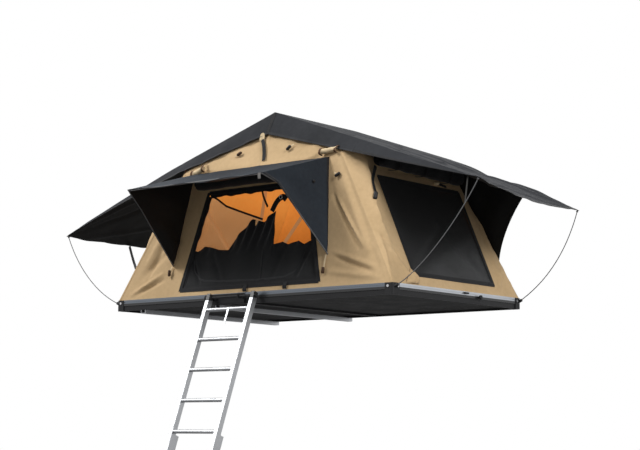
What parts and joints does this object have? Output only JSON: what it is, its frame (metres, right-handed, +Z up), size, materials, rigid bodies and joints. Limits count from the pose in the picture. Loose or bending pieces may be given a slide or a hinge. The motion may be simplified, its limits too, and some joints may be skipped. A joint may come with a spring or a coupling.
{
  "type": "roof top tent",
  "caption": "Fold-over roof top tent: hinged base with mounting rails, folding bows, canvas with door and windows, rain fly with wings, hoods and a sliding ladder.",
  "frame": {"origin": "centre of the four-bolt pattern on the underside of the mounting rails, below the middle of the fixed half of the base", "axes": "+X along the base from the fixed half to the folding half, +Y towards the back (the front door and the ladder are on -Y), +Z up, out of the vehicle's roof bars"},
  "size_m": [3.5508, 2.6587, 3.2535],
  "materials": {
    "bright_aluminium": "satin anodised",
    "floor_panel": "black skinned sandwich panel",
    "black_metal": "black powder coat",
    "black_plastic": "moulded, fine grain",
    "steel": "zinc plated",
    "mattress": "knitted cover",
    "tan_canvas": "woven polycotton canvas",
    "black_fabric": "woven tape and canvas",
    "mesh": "insect mesh",
    "fly_fabric": "coated oxford cloth",
    "rubber": "moulded"
  },
  "bodies": {
    "fixed_deck": {"mounting_rails": "bright_aluminium", "fixed_floor": "floor_panel", "fixed_edge": "bright_aluminium", "fixed_ring": "black_metal", "fixed_corner_caps": "black_plastic", "fixed_cap_bolts": "steel", "fixed_hinge_plates": "black_metal", "hinge_pins": "steel", "fixed_bow_pins": "steel", "fixed_mattress": "mattress", "ladder_bracket": "black_metal", "ladder_hinge_rod": "steel", "front_wall": "tan_canvas", "back_wall": "tan_canvas", "left_wall": "tan_canvas", "front_binding": "black_fabric", "back_binding": "black_fabric", "left_binding": "black_fabric", "front_door_panel": "black_fabric", "front_door_mesh": "mesh", "back_door_panel": "tan_canvas", "left_window_panel": "tan_canvas", "left_wing_rods": "steel"},
    "folding_deck": {"folding_floor": "floor_panel", "folding_edge": "bright_aluminium", "folding_ring": "black_metal", "folding_corner_caps": "black_plastic", "folding_cap_bolts": "steel", "folding_hinge_plates": "black_metal", "folding_bow_pins": "steel", "folding_mattress": "mattress", "end_rail_fittings": "black_plastic", "right_wall": "tan_canvas", "right_binding": "black_fabric", "right_window_mesh": "mesh", "right_wing_rods": "steel"},
    "left_bow": {"left_bow": "bright_aluminium", "left_roof": "tan_canvas", "left_fly": "fly_fabric"},
    "ridge_bow": {"ridge_bow": "bright_aluminium"},
    "right_bow": {"right_bow": "bright_aluminium", "right_roof": "tan_canvas", "right_fly": "fly_fabric"},
    "left_wing": {"left_wing": "fly_fabric"},
    "right_wing": {"right_wing": "fly_fabric"},
    "front_awning": {"front_hood": "fly_fabric", "front_hoop": "steel"},
    "back_awning": {"back_hood": "fly_fabric", "back_hoop": "steel"},
    "ladder_upper": {"ladder_upper_rails": "bright_aluminium", "ladder_upper_rungs": "bright_aluminium", "ladder_guides": "black_plastic", "ladder_pull": "bright_aluminium"},
    "ladder_lower": {"ladder_lower_rails": "bright_aluminium", "ladder_lower_rungs": "bright_aluminium", "ladder_feet": "rubber"}
  },
  "joints": [
    {"name": "base_fold", "type": "hinge", "parent": "fixed_deck", "child": "folding_deck", "pos_m": [0.6, 0, 0.228], "axis": [0, -1, 0], "range_deg": [0, 180], "deforming": ["front_wall", "back_wall", "left_wall", "front_binding", "back_binding", "left_binding", "front_door_panel", "front_door_mesh", "back_door_panel", "left_window_panel", "right_wall", "right_binding", "right_window_mesh", "left_roof", "left_fly", "right_roof", "right_fly", "left_wing", "right_wing", "front_hood", "back_hood", "left_wing_rods", "right_wing_rods", "front_hoop", "back_hoop"]},
    {"name": "left_bow_fold", "type": "hinge", "parent": "fixed_deck", "child": "left_bow", "pos_m": [0.53, 0, 0.183], "axis": [0, -1, 0], "range_deg": [-0.1, 51.2]},
    {"name": "ridge_bow_fold", "type": "hinge", "parent": "fixed_deck", "child": "ridge_bow", "pos_m": [0.6, 0, 0.228], "axis": [0, -1, 0], "range_deg": [-0.1, 90.1]},
    {"name": "right_bow_fold", "type": "hinge", "parent": "folding_deck", "child": "right_bow", "pos_m": [0.67, 0, 0.183], "axis": [0, -1, 0], "range_deg": [-51.2, 0.1]},
    {"name": "left_wing_fold", "type": "hinge", "parent": "left_bow", "child": "left_wing", "pos_m": [-0.17161, 0, 1.05207], "axis": [0, -1, 0], "range_deg": [-0.1, 106.1]},
    {"name": "right_wing_fold", "type": "hinge", "parent": "right_bow", "child": "right_wing", "pos_m": [1.37161, 0, 1.05207], "axis": [0, -1, 0], "range_deg": [-106.1, 0.1]},
    {"name": "front_awning_drop", "type": "hinge", "parent": "ridge_bow", "child": "front_awning", "pos_m": [0.6, -0.57556, 0.944], "axis": [1, 0, 0], "range_deg": [-0.1, 62.1]},
    {"name": "back_awning_drop", "type": "hinge", "parent": "ridge_bow", "child": "back_awning", "pos_m": [0.6, 0.57556, 0.944], "axis": [-1, 0, 0], "range_deg": [-0.1, 62.1]},
    {"name": "ladder_swing", "type": "hinge", "parent": "fixed_deck", "child": "ladder_upper", "pos_m": [0.52, -0.746, 0.07], "axis": [-1, 0, 0], "range_deg": [0, 70]},
    {"name": "ladder_slide", "type": "slide", "parent": "ladder_upper", "child": "ladder_lower", "axis": [0, 0.342, 0.9397], "range_m": [0, 0.85]}
  ],
  "couplings": [
    {"joint": "left_bow_fold", "follows": "base_fold", "ratio": 0.28389},
    {"joint": "ridge_bow_fold", "follows": "base_fold", "ratio": 0.5},
    {"joint": "right_bow_fold", "follows": "base_fold", "ratio": -0.28389},
    {"joint": "left_wing_fold", "follows": "base_fold", "ratio": 0.58889},
    {"joint": "right_wing_fold", "follows": "base_fold", "ratio": -0.58889},
    {"joint": "front_awning_drop", "follows": "base_fold", "ratio": 0.34444},
    {"joint": "back_awning_drop", "follows": "base_fold", "ratio": 0.34444}
  ]
}
